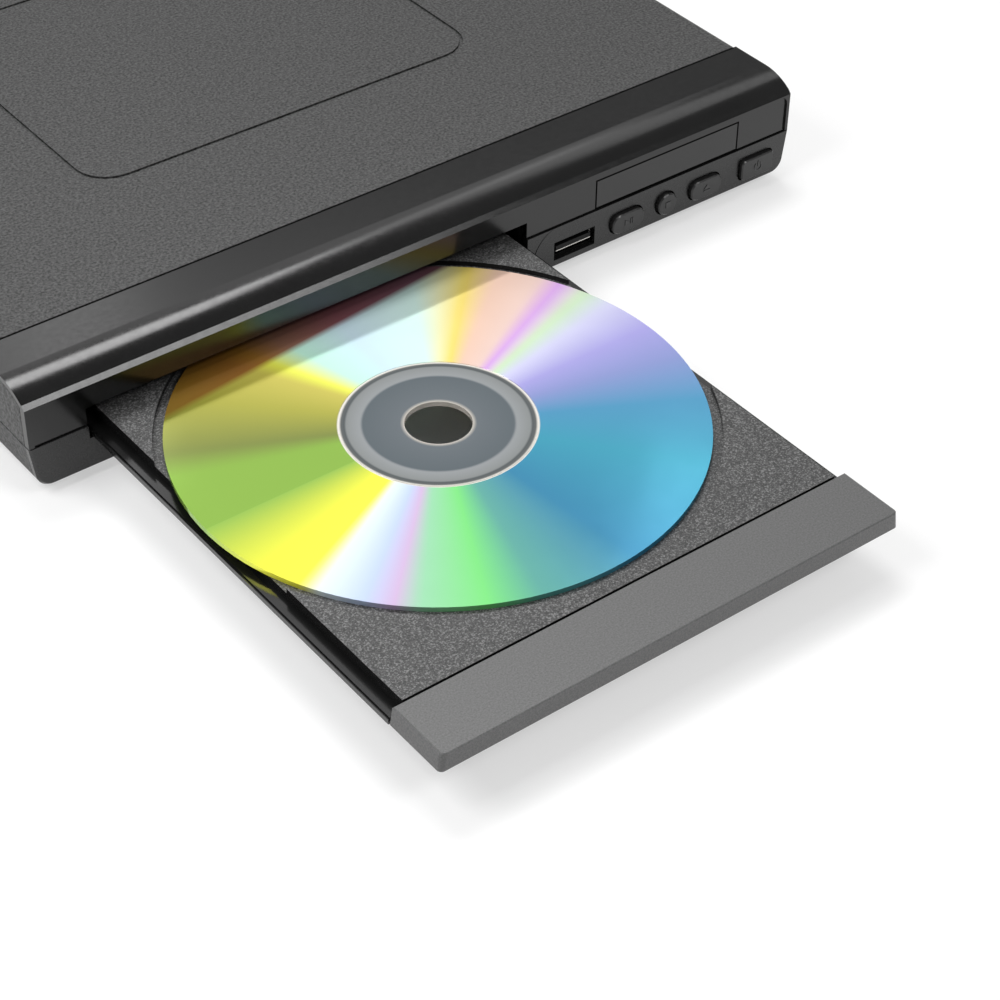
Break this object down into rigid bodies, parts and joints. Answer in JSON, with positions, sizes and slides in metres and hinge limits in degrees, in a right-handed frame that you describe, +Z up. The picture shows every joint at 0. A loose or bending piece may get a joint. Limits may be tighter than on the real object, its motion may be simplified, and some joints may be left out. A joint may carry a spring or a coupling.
{
  "type": "disc player",
  "caption": "Compact low disc player with its loading tray slid out, an optical disc in the tray, front buttons, front and rear sockets.",
  "frame": {"origin": "on the table, under the middle of the whole object with its tray out", "axes": "+X to the right seen from the front, +Y from the tray's front to the back panel, +Z up"},
  "size_m": [0.222, 0.3278, 0.0286],
  "materials": {
    "bezel_gloss": "piano black, satin on the bullnose",
    "cover_texture": "fine textured dark grey",
    "case_texture": "fine textured dark grey",
    "fascia_gloss": "smooth dark",
    "window_tint": "dark tinted clear plastic",
    "button_black": "smooth dark with embossed marks",
    "tray_texture": "grainy dark grey",
    "lip_plastic": "smooth matte grey",
    "disc_plastic": "metallised clear plastic, iridescent",
    "plain_steel": "plated sheet and turned steel",
    "nickel": "nickel plated",
    "black_plastic": "moulded black",
    "chassis_plastic": "moulded black",
    "gear_plastic": "natural acetal",
    "rubber_black": "soft black",
    "board_green": "solder-masked laminate",
    "yellow_plastic": "yellow insulator",
    "white_plastic": "white insulator",
    "red_plastic": "red insulator",
    "lens_clear": "coated moulded lens",
    "ribbon_white": "flat white cable"
  },
  "bodies": {
    "base": {"front_bezel": "bezel_gloss", "top_cover": "cover_texture", "bottom_case": "case_texture", "lower_fascia": "fascia_gloss", "control_panel": "fascia_gloss", "display_window": "window_tint", "usb_shell": "plain_steel", "usb_tongue": "white_plastic", "feet": "rubber_black", "rear_panel": "black_plastic", "av_jack_housing": "black_plastic", "av_jack_sleeves": "nickel", "video_jack_insert": "yellow_plastic", "left_audio_insert": "white_plastic", "right_audio_insert": "red_plastic", "hdmi_shell": "plain_steel", "hdmi_tongue": "black_plastic", "power_inlet": "black_plastic", "inlet_pins": "plain_steel", "front_board": "board_green", "tact_switches": "black_plastic", "display_module": "black_plastic", "remote_receiver": "black_plastic", "main_board": "board_green", "power_board": "board_green", "chips": "black_plastic", "capacitors": "black_plastic", "transformer": "yellow_plastic", "front_ribbon": "ribbon_white", "case_screws": "plain_steel", "loader_screws": "plain_steel", "loader_chassis": "chassis_plastic", "loading_motor": "plain_steel", "drive_belt": "rubber_black", "clamp_bridge": "plain_steel"},
    "tray": {"disc_tray": "tray_texture", "tray_front": "lip_plastic"},
    "disc_body": {"disc": "disc_plastic"},
    "drive_gear_body": {"drive_gear": "gear_plastic"},
    "pulley_gear_body": {"pulley_gear": "gear_plastic"},
    "motor_pulley_body": {"motor_pulley": "white_plastic"},
    "cam": {"cam_slider": "gear_plastic"},
    "traverse": {"traverse_plate": "chassis_plastic", "guide_rods": "plain_steel", "spindle_motor": "plain_steel", "sled_motor": "plain_steel"},
    "spindle": {"turntable": "black_plastic", "turntable_mat": "rubber_black"},
    "sled": {"pickup": "black_plastic", "pickup_lens": "lens_clear"},
    "screw": {"lead_screw": "plain_steel"},
    "clamp": {"clamp_puck": "black_plastic"},
    "play": {"play_button": "button_black"},
    "stop": {"stop_button": "button_black"},
    "eject": {"eject_button": "button_black"},
    "power": {"power_button": "button_black"}
  },
  "joints": [
    {"name": "tray_slide", "type": "slide", "parent": "base", "child": "tray", "axis": [0, 1, 0], "range_m": [0, 0.1289]},
    {"name": "disc_turn", "type": "hinge", "parent": "tray", "child": "disc_body", "pos_m": [-0.0353, -0.08185, 0.0156], "axis": [0, 0, 1], "continuous": true},
    {"name": "drive_gear_spin", "type": "hinge", "parent": "base", "child": "drive_gear_body", "pos_m": [0.0067, -0.01385, 0.0106], "axis": [0, 0, 1], "range_deg": [0, 1055.2]},
    {"name": "pulley_gear_spin", "type": "hinge", "parent": "base", "child": "pulley_gear_body", "pos_m": [0.02485, -0.0076, 0.0086], "axis": [0, 0, 1], "range_deg": [-3165.5, 0]},
    {"name": "motor_pulley_spin", "type": "hinge", "parent": "base", "child": "motor_pulley_body", "pos_m": [0.0487, 0.00105, 0.0106], "axis": [0, 0, 1], "range_deg": [-12662, 0]},
    {"name": "traverse_lift", "type": "hinge", "parent": "base", "child": "traverse", "pos_m": [-0.0353, 0.14015, 0.0102], "axis": [-1, 0, 0], "range_deg": [0, 1.32]},
    {"name": "cam_slide", "type": "slide", "parent": "base", "child": "cam", "axis": [1, 0, 0], "range_m": [0, 0.014]},
    {"name": "spindle_spin", "type": "hinge", "parent": "traverse", "child": "spindle", "pos_m": [-0.0353, 0.04707, 0.00805], "axis": [0, -0.0231, 0.9997], "continuous": true},
    {"name": "clamp_spin", "type": "hinge", "parent": "base", "child": "clamp", "pos_m": [-0.0353, 0.04705, 0.0206], "axis": [0, 0, 1], "continuous": true},
    {"name": "sled_slide", "type": "slide", "parent": "traverse", "child": "sled", "axis": [0, 0.9997, 0.0231], "range_m": [0, 0.034]},
    {"name": "lead_screw_turn", "type": "hinge", "parent": "traverse", "child": "screw", "pos_m": [-0.0023, 0.14015, 0.0102], "axis": [0, 0.9997, 0.0231], "range_deg": [0, 6121]},
    {"name": "play_press", "type": "slide", "parent": "base", "child": "play", "axis": [0, 1, 0], "range_m": [0, 0.0006], "stiffness_N_per_m": 200},
    {"name": "stop_press", "type": "slide", "parent": "base", "child": "stop", "axis": [0, 1, 0], "range_m": [0, 0.0006], "stiffness_N_per_m": 200},
    {"name": "eject_press", "type": "slide", "parent": "base", "child": "eject", "axis": [0, 1, 0], "range_m": [0, 0.0006], "stiffness_N_per_m": 200},
    {"name": "power_press", "type": "slide", "parent": "base", "child": "power", "axis": [0, 1, 0], "range_m": [0, 0.0006], "stiffness_N_per_m": 200}
  ],
  "couplings": [
    {"joint": "drive_gear_spin", "follows": "tray_slide", "rad_per_m": 142.86},
    {"joint": "pulley_gear_spin", "follows": "tray_slide", "rad_per_m": -428.57},
    {"joint": "motor_pulley_spin", "follows": "tray_slide", "rad_per_m": -1714.3},
    {"joint": "cam_slide", "follows": "traverse_lift", "m_per_rad": 0.60578},
    {"joint": "clamp_spin", "follows": "spindle_spin", "ratio": 1},
    {"joint": "lead_screw_turn", "follows": "sled_slide", "rad_per_m": 3141.6}
  ]
}
